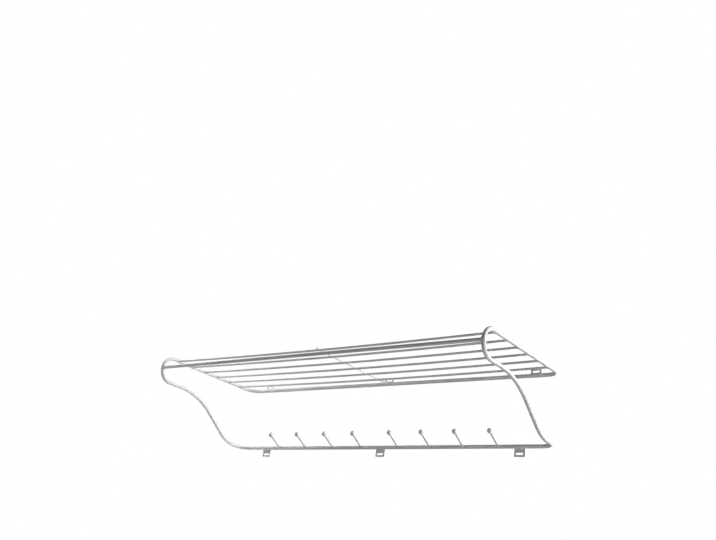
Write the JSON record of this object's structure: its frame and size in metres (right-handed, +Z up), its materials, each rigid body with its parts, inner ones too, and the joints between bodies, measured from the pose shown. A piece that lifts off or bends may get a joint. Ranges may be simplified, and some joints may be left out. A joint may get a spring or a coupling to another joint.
{
  "type": "wall rack with wire shelf and coat pegs",
  "caption": "White wall rack bent from round steel rod: a wire hat shelf with rounded side bows above a rail of slanted coat pegs with ball tips, on slotted brackets.",
  "frame": {"origin": "on the wall plane at mid width, at the height of the lower rail's centre line, on the back of the middle lower bracket", "axes": "+X along the wall to the right as seen from the room, +Y into the wall, +Z up"},
  "size_m": [0.85, 0.308, 0.1795],
  "materials": {
    "powder_coat": "smooth semi-gloss white powder coat on steel"
  },
  "bodies": {
    "root": {"side_bow_left": "powder_coat", "side_bow_right": "powder_coat", "wall_rail_upper": "powder_coat", "wall_rail_lower": "powder_coat", "front_bar": "powder_coat", "centre_strut": "powder_coat", "shelf_wire_1": "powder_coat", "shelf_wire_2": "powder_coat", "shelf_wire_3": "powder_coat", "shelf_wire_4": "powder_coat", "shelf_wire_5": "powder_coat", "shelf_wire_6": "powder_coat", "peg_1": "powder_coat", "peg_2": "powder_coat", "peg_3": "powder_coat", "peg_4": "powder_coat", "peg_5": "powder_coat", "peg_6": "powder_coat", "peg_7": "powder_coat", "peg_8": "powder_coat", "peg_ball_1": "powder_coat", "peg_ball_2": "powder_coat", "peg_ball_3": "powder_coat", "peg_ball_4": "powder_coat", "peg_ball_5": "powder_coat", "peg_ball_6": "powder_coat", "peg_ball_7": "powder_coat", "peg_ball_8": "powder_coat", "upper_bracket_1": "powder_coat", "upper_bracket_2": "powder_coat", "upper_bracket_3": "powder_coat", "lower_bracket_1": "powder_coat", "lower_bracket_2": "powder_coat", "lower_bracket_3": "powder_coat"}
  },
  "joints": []
}
